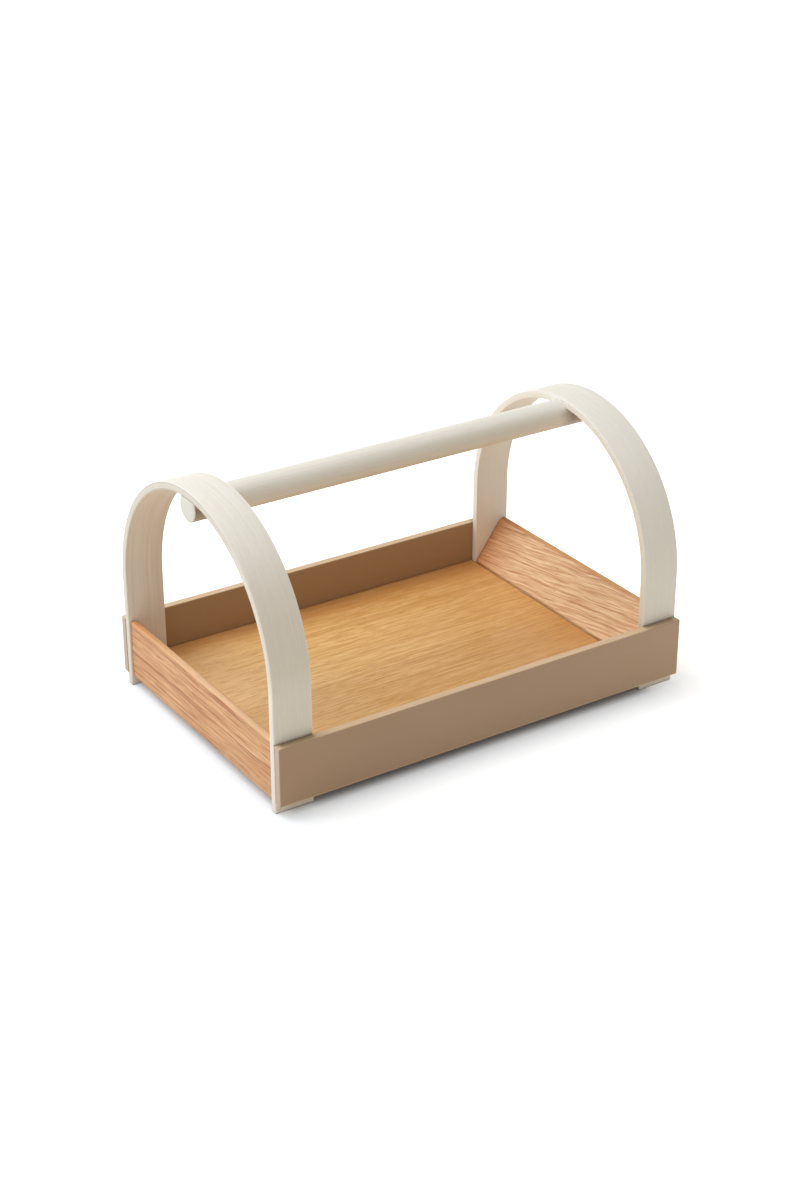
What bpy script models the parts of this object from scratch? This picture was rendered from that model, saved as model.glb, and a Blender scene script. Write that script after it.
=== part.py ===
# Wooden carry tray. Two bent strips stand on their own ends and carry a round handle,
# which is notched at both ends so that the crowns of the strips lie in it. Wedge-shaped
# end blocks fill the space between the legs of each strip, side panels cover the legs
# outside, and the floor board sits with tongues in grooves of the blocks and the panels.
# Blind wooden pins join the corners and the handle.
# Metres, +Z up. +X runs along the handle and the front panel is on the -Y side.
# The origin is on the ground, below the middle of the tray.

import math

import bmesh
import bpy
from mathutils import Vector

# Overall
TRAY_LENGTH = 0.400          # over the panels' ends and the outer edges of the arches
FIT_GAP = 0.0003             # clearance between pieces that touch

# Bent strips
STRIP_WIDTH = 0.0350         # along X
STRIP_THICKNESS = 0.0065
STRIP_EDGE = 0.0005          # rounding of the strip's edges
ARCH_SPAN = 0.255            # over the outsides of the two legs
LEG_STRAIGHT = 0.1028        # from the ground up to where the half circle starts
ARC_STEPS = 72               # facets of the half circle

# Handle
HANDLE_DIAMETER = 0.0250
HANDLE_EDGE = 0.0010         # rounding of the end faces
NOTCH_DEPTH = 0.0053         # from the top of the handle down to its seat for the strip

# Side panels
PANEL_THICKNESS = 0.0074
PANEL_HEIGHT = 0.0530
PANEL_BOTTOM = 0.0095        # above the ground
PANEL_EDGE = 0.0007          # rounding of the panel's edges

# Floor board
FLOOR_TOP = 0.0233           # above the ground
FLOOR_THICKNESS = 0.0080
TONGUE_THICKNESS = 0.0040
SIDE_TONGUE = 0.0025         # reach into the panels
END_TONGUE = 0.0060          # reach into the end blocks

# End blocks
BLOCK_DROP = 0.0005          # below the bottom of the panels
BLOCK_INSET = 0.0016         # outer face behind the arch's outer edge
BLOCK_TOE_SETBACK = 0.0007   # toe behind the arch's inner edge
BLOCK_LIP = 0.0017           # upright part of the toe above the floor
BLOCK_TOP_WIDTH = 0.0056     # flat on top, before its edges are rounded
BLOCK_BROW = 0.0030          # rounding between the top and the slope
BLOCK_EDGE = 0.0010          # rounding of the outer edges
BLOCK_TOE_EDGE = 0.0005      # rounding of the toe
CORNER_STEPS = 4             # facets of a rounded corner

# Wooden pins
PIN_DIAMETER = 0.0060
PIN_PLAY = 0.0002            # radial clearance of a pin in its hole
PIN_CHAMFER = 0.0006
PANEL_PIN_WALL = 0.0035      # panel left outside a pin
BLOCK_PIN_REACH = 0.0140     # into the end grain of a block
LOWER_PIN_RISE = 0.0075      # above the bottom of the panel
UPPER_PIN_FALL = 0.0180      # below the top of the panel
UPPER_PIN_INSET = 0.0100     # behind the arch's outer edge
HANDLE_PIN_SPACING = 0.0170  # between the two pins at one end
HANDLE_PIN_WALL = 0.0045     # handle left below a pin
CROWN_PIN_WALL = 0.0022      # strip left above a pin

# Facets and shading
HANDLE_SIDES = 64
PIN_SIDES = 24
STRIP_EDGE_STEPS = 2
BOARD_EDGE_STEPS = 3
BEVEL_ANGLE = math.radians(50)   # edges sharper than this are eased
SHARP_ANGLE = math.radians(30)   # edges sharper than this aren't shaded smooth

# Colour in linear light, and roughness
WHITEWASHED_ASH = ((0.76, 0.72, 0.63), 0.55)
TAUPE_LACQUER = ((0.36, 0.26, 0.18), 0.45)
SOLID_OAK = ((0.68, 0.38, 0.21), 0.55)
OAK_VENEER = ((0.64, 0.38, 0.16), 0.50)
BEECH = ((0.66, 0.47, 0.29), 0.60)

HALF_LENGTH = TRAY_LENGTH / 2
ARCH_X = HALF_LENGTH - STRIP_WIDTH / 2
ARCH_INNER_X = HALF_LENGTH - STRIP_WIDTH
OUTER_RADIUS = ARCH_SPAN / 2
INNER_RADIUS = OUTER_RADIUS - STRIP_THICKNESS
SEAT_RADIUS = INNER_RADIUS - FIT_GAP
SEAT_Z = LEG_STRAIGHT + SEAT_RADIUS
HANDLE_Z = SEAT_Z + NOTCH_DEPTH - HANDLE_DIAMETER / 2
PANEL_INNER_Y = OUTER_RADIUS + FIT_GAP
PANEL_TOP = PANEL_BOTTOM + PANEL_HEIGHT
BLOCK_HALF_WIDTH = INNER_RADIUS - FIT_GAP
BLOCK_TOE_X = ARCH_INNER_X + BLOCK_TOE_SETBACK
BLOCK_OUTER_X = HALF_LENGTH - BLOCK_INSET
FLOOR_HALF_X = ARCH_INNER_X - FIT_GAP
FLOOR_HALF_Y = PANEL_INNER_Y - FIT_GAP
FLOOR_MIDDLE_Z = FLOOR_TOP - FLOOR_THICKNESS / 2
END_TONGUE_X = BLOCK_TOE_X + END_TONGUE
SIDE_TONGUE_Y = PANEL_INNER_Y + SIDE_TONGUE
CUTTER_OVERRUN = 0.010       # how far a cutter runs past the piece it cuts

SIDES_X = {"left": -1, "right": 1}
SIDES_Y = {"front": -1, "rear": 1}


def clear_scene():
    for old in list(bpy.data.objects):
        bpy.data.objects.remove(old, do_unlink=True)


def new_collection(name):
    collection = bpy.data.collections.new(name)
    bpy.context.scene.collection.children.link(collection)
    return collection


def wood(name, look):
    colour, roughness = look
    material = bpy.data.materials.new(name)
    material.use_nodes = True
    shader = material.node_tree.nodes["Principled BSDF"]
    shader.inputs["Base Color"].default_value = (*colour, 1.0)
    shader.inputs["Roughness"].default_value = roughness
    shader.inputs["Metallic"].default_value = 0.0
    material.diffuse_color = (*colour, 1.0)
    return material


def place(name, shape, collection, location, smooth=False):
    # Turns an edit mesh into a named object at its place.
    mesh = bpy.data.meshes.new(name)
    shape.to_mesh(mesh)
    shape.free()
    if smooth:
        mesh.shade_smooth()
        mesh.set_sharp_from_angle(angle=SHARP_ANGLE)
    piece = bpy.data.objects.new(name, mesh)
    piece.location = location
    collection.objects.link(piece)
    return piece


def box(size):
    shape = bmesh.new()
    bmesh.ops.create_cube(shape, size=1.0)
    bmesh.ops.scale(shape, vec=size, verts=shape.verts)
    return shape


def rod(length, diameter, sides):
    shape = bmesh.new()
    bmesh.ops.create_cone(shape, cap_ends=True, segments=sides, radius1=diameter / 2,
                          radius2=diameter / 2, depth=length)
    return shape


def prism(outline, start, travel):
    # Fills an outline of points in space and pushes the face along travel.
    shape = bmesh.new()
    face = shape.faces.new([shape.verts.new(point + start) for point in outline])
    pushed = bmesh.ops.extrude_face_region(shape, geom=[face])
    moved = [item for item in pushed["geom"] if isinstance(item, bmesh.types.BMVert)]
    bmesh.ops.translate(shape, vec=travel, verts=moved)
    bmesh.ops.recalc_face_normals(shape, faces=shape.faces)
    return shape


def rounded(corners):
    # Each corner is a point and the radius of the arc that replaces it.
    outline = []
    for index, (corner, radius) in enumerate(corners):
        to_last = (corners[index - 1][0] - corner).normalized()
        to_next = (corners[(index + 1) % len(corners)][0] - corner).normalized()
        half_angle = to_last.angle(to_next) / 2
        centre = corner + (to_last + to_next).normalized() * radius / math.sin(half_angle)
        first = corner + to_last * radius / math.tan(half_angle) - centre
        last = corner + to_next * radius / math.tan(half_angle) - centre
        for step in range(CORNER_STEPS + 1):
            arm = first.slerp(last, step / CORNER_STEPS).normalized()
            outline.append(centre + arm * radius)
    return outline


def ease_edges(piece, width, segments):
    bevel = piece.modifiers.new("eased edges", "BEVEL")
    bevel.width = width
    bevel.segments = segments
    bevel.limit_method = "ANGLE"
    bevel.angle_limit = BEVEL_ANGLE


def cut(piece, cutter):
    boolean = piece.modifiers.new("cut by " + cutter.name, "BOOLEAN")
    boolean.operation = "DIFFERENCE"
    boolean.solver = "EXACT"
    boolean.object = cutter


def join(piece, addition):
    boolean = piece.modifiers.new("joined to " + addition.name, "BOOLEAN")
    boolean.operation = "UNION"
    boolean.solver = "EXACT"
    boolean.object = addition


def hide_guide(guide):
    guide.hide_render = True
    guide.display_type = "WIRE"
    return guide


def arch_surface(radius, low_x, high_x):
    # An open strip surface: up one leg, round the half circle and down the other leg.
    # Its faces point away from the middle of the arch.
    path = [(-radius, 0.0)]
    for step in range(ARC_STEPS + 1):
        angle = math.pi * (1 - step / ARC_STEPS)
        path.append((radius * math.cos(angle), LEG_STRAIGHT + radius * math.sin(angle)))
    path.append((radius, 0.0))
    shape = bmesh.new()
    rows = [(shape.verts.new((low_x, y, z)), shape.verts.new((high_x, y, z))) for y, z in path]
    for last, following in zip(rows, rows[1:]):
        shape.faces.new((last[0], last[1], following[1], following[0]))
    return shape


def make_arch(name, side, collection, finish):
    surface = arch_surface(OUTER_RADIUS, -STRIP_WIDTH / 2, STRIP_WIDTH / 2)
    arch = place(name, surface, collection, (side * ARCH_X, 0, 0), smooth=True)
    arch.data.materials.append(finish)
    wall = arch.modifiers.new("strip thickness", "SOLIDIFY")
    wall.thickness = STRIP_THICKNESS
    wall.offset = -1
    wall.use_even_offset = True
    ease_edges(arch, STRIP_EDGE, STRIP_EDGE_STEPS)
    return arch


def make_handle(collection, cutters, finish):
    handle = place("handle", rod(TRAY_LENGTH, HANDLE_DIAMETER, HANDLE_SIDES), collection,
                   (0, 0, HANDLE_Z), smooth=True)
    handle.rotation_euler = (0, math.radians(90), 0)
    handle.data.materials.append(finish)
    ease_edges(handle, HANDLE_EDGE, BOARD_EDGE_STEPS)
    for side_name, side in SIDES_X.items():
        # The seat follows the inside of the strip, a clearance below it.
        ends = sorted((side * (ARCH_INNER_X - FIT_GAP), side * (HALF_LENGTH + CUTTER_OVERRUN)))
        surface = arch_surface(SEAT_RADIUS, *ends)
        notch = hide_guide(place("notch_" + side_name, surface, cutters, (0, 0, 0)))
        depth = notch.modifiers.new("cutter depth", "SOLIDIFY")
        depth.thickness = NOTCH_DEPTH + CUTTER_OVERRUN
        depth.offset = 1
        depth.use_even_offset = True
        cut(handle, notch)
    return handle


def make_panel(name, side, collection, finish):
    centre = (0, side * (PANEL_INNER_Y + PANEL_THICKNESS / 2), PANEL_BOTTOM + PANEL_HEIGHT / 2)
    panel = place(name, box((TRAY_LENGTH, PANEL_THICKNESS, PANEL_HEIGHT)), collection, centre)
    panel.data.materials.append(finish)
    ease_edges(panel, PANEL_EDGE, BOARD_EDGE_STEPS)
    return panel


def make_end_block(name, side, collection, finish):
    bottom = PANEL_BOTTOM - BLOCK_DROP
    brow_x = BLOCK_OUTER_X - BLOCK_TOP_WIDTH
    corners = [
        (Vector((BLOCK_TOE_X, 0, bottom)), BLOCK_EDGE),
        (Vector((BLOCK_OUTER_X, 0, bottom)), BLOCK_EDGE),
        (Vector((BLOCK_OUTER_X, 0, PANEL_TOP)), BLOCK_EDGE),
        (Vector((brow_x, 0, PANEL_TOP)), BLOCK_BROW),
        (Vector((BLOCK_TOE_X, 0, FLOOR_TOP + BLOCK_LIP)), BLOCK_TOE_EDGE),
    ]
    section = rounded(corners)
    shape = prism(section, Vector((-ARCH_X, -BLOCK_HALF_WIDTH, 0)),
                  Vector((0, 2 * BLOCK_HALF_WIDTH, 0)))
    block = place(name, shape, collection, (side * ARCH_X, 0, 0), smooth=True)
    if side < 0:
        block.rotation_euler = (0, 0, math.radians(180))
    block.data.materials.append(finish)
    return block


def make_floor(collection, cutters, finish):
    floor = place("floor_board", box((2 * FLOOR_HALF_X, 2 * FLOOR_HALF_Y, FLOOR_THICKNESS)),
                  collection, (0, 0, FLOOR_MIDDLE_Z))
    floor.data.materials.append(finish)
    # One plate with four tongues. Its corners stay clear of the legs.
    quarter = [
        (END_TONGUE_X, BLOCK_HALF_WIDTH),
        (FLOOR_HALF_X, BLOCK_HALF_WIDTH),
        (FLOOR_HALF_X, SIDE_TONGUE_Y),
    ]
    outline = [Vector((x, y, 0)) for x, y in quarter]
    outline += [Vector((-x, y, 0)) for x, y in reversed(quarter)]
    outline += [Vector((-x, -y, 0)) for x, y in quarter]
    outline += [Vector((x, -y, 0)) for x, y in reversed(quarter)]
    shape = prism(outline, Vector((0, 0, -TONGUE_THICKNESS / 2)),
                  Vector((0, 0, TONGUE_THICKNESS)))
    tongues = hide_guide(place("tongues", shape, cutters, (0, 0, FLOOR_MIDDLE_Z)))
    join(floor, tongues)
    return floor


def make_grooves(panels, blocks, cutters):
    # Both grooves take the tongues with clearance. The one in the panels stops at the
    # legs, and the one in the blocks runs through to their ends.
    height = TONGUE_THICKNESS + 2 * FIT_GAP
    panel_groove = place("panel_groove",
                         box((2 * (FLOOR_HALF_X + FIT_GAP), 2 * (SIDE_TONGUE_Y + FIT_GAP), height)),
                         cutters, (0, 0, FLOOR_MIDDLE_Z))
    block_groove = place("block_groove",
                         box((2 * (END_TONGUE_X + FIT_GAP), 2 * (BLOCK_HALF_WIDTH + CUTTER_OVERRUN),
                              height)),
                         cutters, (0, 0, FLOOR_MIDDLE_Z))
    for panel in panels:
        cut(panel, hide_guide(panel_groove))
    for block in blocks:
        cut(block, hide_guide(block_groove))


def make_pin(name, start, end, pieces, collection, cutters, finish):
    # A chamfered pin between two points, and its hole in each of the pieces it joins.
    run = end - start
    turn = run.to_track_quat("Z", "Y").to_euler()
    middle = (start + end) / 2
    pin = place(name, rod(run.length, PIN_DIAMETER, PIN_SIDES), collection, middle, smooth=True)
    pin.rotation_euler = turn
    pin.data.materials.append(finish)
    ease_edges(pin, PIN_CHAMFER, 1)
    hole = hide_guide(place("hole_for_" + name,
                            rod(run.length + 2 * FIT_GAP, PIN_DIAMETER + 2 * PIN_PLAY,
                                PIN_SIDES),
                            cutters, middle))
    hole.rotation_euler = turn
    for piece in pieces:
        cut(piece, hole)
    return pin


def build():
    clear_scene()
    parts = new_collection("carry_tray")
    cutters = new_collection("cutters")
    whitewash = wood("whitewashed ash", WHITEWASHED_ASH)
    lacquer = wood("taupe lacquer", TAUPE_LACQUER)
    block_oak = wood("solid oak", SOLID_OAK)
    floor_oak = wood("oak veneer", OAK_VENEER)
    beech = wood("beech", BEECH)

    arches = {name: make_arch("arch_" + name, side, parts, whitewash)
              for name, side in SIDES_X.items()}
    handle = make_handle(parts, cutters, whitewash)
    panels = {name: make_panel(name + "_panel", side, parts, lacquer)
              for name, side in SIDES_Y.items()}
    blocks = {name: make_end_block("end_block_" + name, side, parts, block_oak)
              for name, side in SIDES_X.items()}
    floor = make_floor(parts, cutters, floor_oak)
    make_grooves(panels.values(), blocks.values(), cutters)

    pins = []
    corner_places = {
        "lower": (ARCH_X, PANEL_BOTTOM + LOWER_PIN_RISE),
        "upper": (HALF_LENGTH - UPPER_PIN_INSET, PANEL_TOP - UPPER_PIN_FALL),
    }
    outer_y = PANEL_INNER_Y + PANEL_THICKNESS - PANEL_PIN_WALL
    inner_y = BLOCK_HALF_WIDTH - BLOCK_PIN_REACH
    for end_name, end in SIDES_X.items():
        for face_name, face in SIDES_Y.items():
            joined = (panels[face_name], arches[end_name], blocks[end_name])
            for level, (x, z) in corner_places.items():
                name = "corner_pin_" + face_name + "_" + end_name + "_" + level
                pins.append(make_pin(name, Vector((end * x, face * outer_y, z)),
                                     Vector((end * x, face * inner_y, z)),
                                     joined, parts, cutters, beech))

    pin_top = LEG_STRAIGHT + OUTER_RADIUS - CROWN_PIN_WALL
    pin_foot = HANDLE_Z - HANDLE_DIAMETER / 2 + HANDLE_PIN_WALL
    handle_places = {
        "inner": ARCH_X - HANDLE_PIN_SPACING / 2,
        "outer": ARCH_X + HANDLE_PIN_SPACING / 2,
    }
    for end_name, end in SIDES_X.items():
        for row, x in handle_places.items():
            pins.append(make_pin("handle_pin_" + end_name + "_" + row,
                                 Vector((end * x, 0, pin_foot)), Vector((end * x, 0, pin_top)),
                                 (handle, arches[end_name]), parts, cutters, beech))

    root = bpy.data.objects.new("tray_origin", None)
    parts.objects.link(root)
    for piece in (*arches.values(), handle, *panels.values(), *blocks.values(), floor, *pins):
        piece.parent = root


build()
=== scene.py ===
import math

import bpy
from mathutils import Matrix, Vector


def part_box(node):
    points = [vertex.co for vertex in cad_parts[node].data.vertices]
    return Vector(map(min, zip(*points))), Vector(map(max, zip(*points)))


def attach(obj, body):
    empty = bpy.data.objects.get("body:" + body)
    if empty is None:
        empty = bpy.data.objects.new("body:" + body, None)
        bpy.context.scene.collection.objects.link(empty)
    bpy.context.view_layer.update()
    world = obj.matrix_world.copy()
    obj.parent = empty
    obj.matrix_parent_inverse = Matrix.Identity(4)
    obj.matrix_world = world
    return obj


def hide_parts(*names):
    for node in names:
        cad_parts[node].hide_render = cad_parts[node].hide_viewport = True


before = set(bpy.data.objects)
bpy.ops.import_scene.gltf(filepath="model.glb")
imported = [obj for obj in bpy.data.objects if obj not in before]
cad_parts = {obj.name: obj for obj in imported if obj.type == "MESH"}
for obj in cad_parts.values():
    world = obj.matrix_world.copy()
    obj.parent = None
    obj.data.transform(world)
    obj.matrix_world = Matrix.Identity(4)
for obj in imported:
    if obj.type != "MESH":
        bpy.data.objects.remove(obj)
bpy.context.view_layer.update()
print("stage: frame loaded,", len(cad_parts), "nodes")

mm = 0.001
tiny = 0.05 * mm  # nearer than this counts as touching


# modelling helpers

def onlySelect(piece):
    if bpy.context.mode != "OBJECT":
        bpy.ops.object.mode_set(mode="OBJECT")
    bpy.ops.object.select_all(action="DESELECT")
    piece.select_set(True)
    bpy.context.view_layer.objects.active = piece


def nameIt(name):
    piece = bpy.context.object
    piece.name = name
    piece.data.name = name
    return piece


def pick(piece, kind, test):
    # selects vertices, edges or faces by their place, and leaves the piece in edit mode
    onlySelect(piece)
    bpy.ops.object.mode_set(mode="EDIT")
    bpy.ops.mesh.select_mode(type=kind)
    bpy.ops.mesh.select_all(action="DESELECT")
    bpy.ops.object.mode_set(mode="OBJECT")
    mesh = piece.data
    if kind == "VERT":
        for vertex in mesh.vertices:
            vertex.select = test(vertex.co)
    elif kind == "EDGE":
        for edge in mesh.edges:
            edge.select = test(*[mesh.vertices[end].co for end in edge.vertices])
    else:
        for face in mesh.polygons:
            face.select = test(face.center, face.normal)
    bpy.ops.object.mode_set(mode="EDIT")


def editAll(piece):
    onlySelect(piece)
    bpy.ops.object.mode_set(mode="EDIT")
    bpy.ops.mesh.select_all(action="SELECT")


def backToObject():
    bpy.ops.object.mode_set(mode="OBJECT")


def addBoard(name, low, high):
    # a board between two corners, with its place in the mesh
    middle = (Vector(low) + Vector(high)) / 2
    bpy.ops.object.select_all(action="DESELECT")
    bpy.ops.mesh.primitive_cube_add(size=1, location=middle)
    board = nameIt(name)
    board.scale = Vector(high) - Vector(low)
    bpy.ops.object.transform_apply(location=True, rotation=True, scale=True)
    return board


def applyModifier(piece, kind, **settings):
    modifier = piece.modifiers.new("step", kind)
    for setting, value in settings.items():
        setattr(modifier, setting, value)
    onlySelect(piece)
    bpy.ops.object.modifier_apply(modifier=modifier.name)


def easeEdges(piece, radius, steps):
    applyModifier(piece, "BEVEL", width=radius, segments=steps, limit_method="ANGLE",
                  angle_limit=math.radians(50))


def carve(piece, cutter, operation="DIFFERENCE"):
    applyModifier(piece, "BOOLEAN", operation=operation, solver="EXACT", object=cutter)
    bpy.data.objects.remove(cutter, do_unlink=True)


def drillForPins(piece, *words):
    # a hole for each CAD pin with these words in its name
    play = 0.2 * mm
    endGap = 0.3 * mm
    for name in sorted(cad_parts):
        if "pin" not in name or any(word not in name for word in words):
            continue
        low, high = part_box(name)
        size = high - low
        length = max(size)
        along = list(size).index(length)
        turn = (math.radians(90), 0, 0) if along == 1 else (0, 0, 0)
        bpy.ops.object.select_all(action="DESELECT")
        bpy.ops.mesh.primitive_cylinder_add(vertices=32, radius=min(size) / 2 + play,
                                            depth=length + 2 * endGap,
                                            location=(low + high) / 2, rotation=turn)
        carve(piece, nameIt("drill"))


def mirrorCopy(piece, name, flip):
    # a second piece on the other side, with its own mesh
    onlySelect(piece)
    bpy.ops.object.duplicate(linked=False)
    twin = nameIt(name)
    editAll(twin)
    bpy.ops.transform.resize(value=flip, center_override=(0, 0, 0))
    bpy.ops.mesh.normals_make_consistent(inside=False)
    backToObject()
    return twin


def smooth(piece, angle=35):
    onlySelect(piece)
    bpy.ops.object.shade_smooth_by_angle(angle=math.radians(angle))


def store(piece, name, values):
    # one value for each vertex, which the finishes read by its name
    piece.data.attributes.new(name, "FLOAT", "POINT").data.foreach_set("value", values)


def layGrain(piece, flow, offset):
    # grain coordinates in metres: along the grain, across it and into the wood
    values = []
    for vertex in piece.data.vertices:
        values.extend(Vector(flow(vertex.co)) + Vector(offset))
    grain = piece.data.attributes.new("grain", "FLOAT_VECTOR", "POINT")
    grain.data.foreach_set("vector", values)


def markWornAndLitEdges(piece, distances, radius):
    # 1 on the middle of a rounded edge and 0 on the flats, for the light wear there and a painted highlight
    middleOfArc = 2 - math.sqrt(2)
    values = []
    for vertex in piece.data.vertices:
        nearest = sorted(abs(distance) for distance in distances(vertex.co))[:2]
        edge = (1 - sum(nearest) / radius) / (1 - middleOfArc)
        values.append(min(max(edge, 0), 1))
    store(piece, "wornAndLitEdge", values)


# material helpers

def paint(red, green, blue):
    # a colour as seen on screen, 0 to 255, as linear light
    linear = []
    for part in (red, green, blue):
        part = part / 255
        linear.append(part / 12.92 if part <= 0.04045 else ((part + 0.055) / 1.055) ** 2.4)
    return (*linear, 1)


def put(tree, kind, sockets, **settings):
    node = tree.nodes.new(kind)
    for setting, value in settings.items():
        setattr(node, setting, value)
    for socket, value in sockets.items():
        if isinstance(value, bpy.types.NodeSocket):
            tree.links.new(value, node.inputs[socket])
        else:
            node.inputs[socket].default_value = value
    return node


def maths(tree, operation, first, second=0.0):
    return put(tree, "ShaderNodeMath", {0: first, 1: second}, operation=operation).outputs[0]


def product(tree, *factors):
    result = factors[0]
    for factor in factors[1:]:
        result = maths(tree, "MULTIPLY", result, factor)
    return result


def gap(tree, first, second):
    return maths(tree, "ABSOLUTE", maths(tree, "SUBTRACT", first, second))


def vectorMaths(tree, operation, first, second=(0, 0, 0)):
    return put(tree, "ShaderNodeVectorMath", {0: first, 1: second}, operation=operation).outputs[0]


def vectorLength(tree, vector):
    return put(tree, "ShaderNodeVectorMath", {0: vector}, operation="LENGTH").outputs["Value"]


def split(tree, vector):
    return put(tree, "ShaderNodeSeparateXYZ", {0: vector}).outputs


def objectPlace(tree):
    return put(tree, "ShaderNodeTexCoord", {}).outputs["Object"]


def attribute(tree, name, output="Fac"):
    return put(tree, "ShaderNodeAttribute", {}, attribute_name=name).outputs[output]


def ramp(tree, factor, stops):
    node = put(tree, "ShaderNodeValToRGB", {0: factor})
    band = node.color_ramp
    while len(band.elements) < len(stops):
        band.elements.new(0.5)
    for element, (place, colour) in zip(band.elements, stops):
        element.position = place
        element.color = colour
    return node.outputs[0]


def fade(tree, value, low, high, toLow=0.0, toHigh=1.0):
    node = put(tree, "ShaderNodeMapRange", {0: value, 1: low, 2: high, 3: toLow, 4: toHigh})
    return node.outputs[0]


def mixColour(tree, factor, first, second, way="MIX"):
    node = put(tree, "ShaderNodeMix", {0: factor, 6: first, 7: second}, data_type="RGBA",
               blend_type=way)
    return node.outputs[2]


def woodNoise(tree, coords, perMetre, detail, rough):
    # noise with its own count per metre along, across and into the wood
    stretched = put(tree, "ShaderNodeMapping", {0: coords, 3: perMetre}).outputs[0]
    noise = put(tree, "ShaderNodeTexNoise", {"Vector": stretched, "Scale": 1.0, "Detail": detail,
                                             "Roughness": rough})
    return noise.outputs


def fibres(tree, coords, perMetre, detail, rough=0.55):
    return woodNoise(tree, coords, perMetre, detail, rough)[0]


def wander(tree, coords, perMetre, reach):
    # the same coordinates, swaying from side to side by up to half of reach
    noise = woodNoise(tree, coords, perMetre, 2.0, 0.5)[1]
    swing = vectorMaths(tree, "SUBTRACT", noise, (0.5, 0.5, 0.5))
    return put(tree, "ShaderNodeVectorMath", {0: swing, 1: (0, reach, reach), 2: coords},
               operation="MULTIPLY_ADD").outputs[0]


def fromLine(tree, place, point):
    # how far a place is from the line through a point along the first coordinate
    aside = vectorMaths(tree, "SUBTRACT", place, point)
    return vectorLength(tree, vectorMaths(tree, "MULTIPLY", aside, (0, 1, 1)))


def growthRings(tree, coords, centre, perMetre):
    # uneven yearly rings about a line along the grain, as a value from 0 to 1
    radius = fromLine(tree, coords, centre)
    rings = put(tree, "ShaderNodeTexNoise", {"W": radius, "Scale": perMetre, "Detail": 3.0,
                                             "Roughness": 0.6}, noise_dimensions="1D")
    return rings.outputs[0]


def insideRound(tree, place, axis, radius):
    # how far a place lies inside a round surface about an axis along X
    return maths(tree, "SUBTRACT", radius, fromLine(tree, place, axis))


def newFinish(name, roughness):
    finish = bpy.data.materials.new(name)
    finish.use_nodes = True
    tree = finish.node_tree
    shader = tree.nodes["Principled BSDF"]
    shader.inputs["Roughness"].default_value = roughness
    return finish, tree, shader


def grainHeight(tree, streak, ridges, pores):
    # the streaks stand up and the pores are holes
    return maths(tree, "SUBTRACT", maths(tree, "MULTIPLY", streak, ridges), pores)


def addBump(tree, shader, height, distance, strength):
    bump = put(tree, "ShaderNodeBump", {"Height": height, "Distance": distance, "Strength": strength})
    tree.links.new(bump.outputs[0], shader.inputs["Normal"])


# bent arches

arch = {"length": 400 * mm, "width": 35 * mm, "thickness": 6.5 * mm, "span": 255 * mm,
        "spring": 102.8 * mm, "edge": 0.5 * mm, "steps": 96, "edgeSteps": 4,
        "rightGrain": 1.3, "grainAside": 0.1, "grainDepth": 0.2}
archX = arch["length"] / 2 - arch["width"] / 2
archRadius = arch["span"] / 2


def bendStrip(name, low, high, radius, thickness, outwards):
    # one leg as a standing plane, then a half turn of its top edge, then the other leg
    bpy.ops.object.select_all(action="DESELECT")
    bpy.ops.mesh.primitive_plane_add(size=1, rotation=(math.radians(90), 0, 0),
                                     location=((low + high) / 2, -radius, arch["spring"] / 2))
    strip = nameIt(name)
    strip.scale = (high - low, arch["spring"], 1)
    bpy.ops.object.transform_apply(location=True, rotation=True, scale=True)
    top = arch["spring"] - tiny
    pick(strip, "EDGE", lambda a, b: a.z > top and b.z > top)
    bpy.ops.mesh.spin(steps=arch["steps"], angle=math.pi, center=(0, 0, arch["spring"]),
                      axis=(1, 0, 0))
    bpy.ops.mesh.extrude_region_move(TRANSFORM_OT_translate={"value": (0, 0, -arch["spring"])})
    editAll(strip)
    bpy.ops.mesh.remove_doubles(threshold=0.001 * mm)
    bpy.ops.mesh.normals_make_consistent(inside=False)
    backToObject()
    crown = max(strip.data.polygons, key=lambda face: face.center.z)
    if crown.normal.z < 0:
        editAll(strip)
        bpy.ops.mesh.flip_normals()
        backToObject()
    applyModifier(strip, "SOLIDIFY", thickness=thickness, offset=1 if outwards else -1,
                  use_even_offset=True)
    return strip


def alongStrip(point):
    # how far along the bent strip a point lies, its place across, and its depth
    if point.z > arch["spring"]:
        rise = point.z - arch["spring"]
        turn = math.atan2(rise, -point.y)
        return (arch["spring"] + archRadius * turn, point.x, archRadius - math.hypot(rise, point.y))
    if point.y < 0:
        return (point.z, point.x, archRadius + point.y)
    return (2 * arch["spring"] + archRadius * math.pi - point.z, point.x, archRadius - point.y)


def toStripFaces(point):
    depth = alongStrip(point)[2]
    aside = arch["width"] / 2 - abs(abs(point.x) - archX)
    return depth, arch["thickness"] - depth, aside, point.z


def sideEdge(point):
    # 1 on the two sawn sides of a strip and 0 on its faces
    aside = arch["width"] / 2 - abs(abs(point.x) - archX)
    return min(max(1 - aside / arch["edge"], 0), 1)


archLeft = bendStrip("bent_arch_left", -archX - arch["width"] / 2, -archX + arch["width"] / 2,
                     archRadius, arch["thickness"], False)
easeEdges(archLeft, arch["edge"], arch["edgeSteps"])
drillForPins(archLeft, "corner_pin", "left")
drillForPins(archLeft, "handle_pin", "left")
archRight = mirrorCopy(archLeft, "bent_arch_right", (-1, 1, 1))
# the shift takes the second of two pieces to other wood, so that their grain isn't alike
for piece, shift in ((archLeft, 0.0), (archRight, arch["rightGrain"])):
    layGrain(piece, alongStrip, (shift, arch["grainAside"] + shift, arch["grainDepth"]))
    markWornAndLitEdges(piece, toStripFaces, arch["edge"])
    store(piece, "side", [sideEdge(vertex.co) for vertex in piece.data.vertices])
    smooth(piece)
print("stage: arches bent")


# handle

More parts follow.
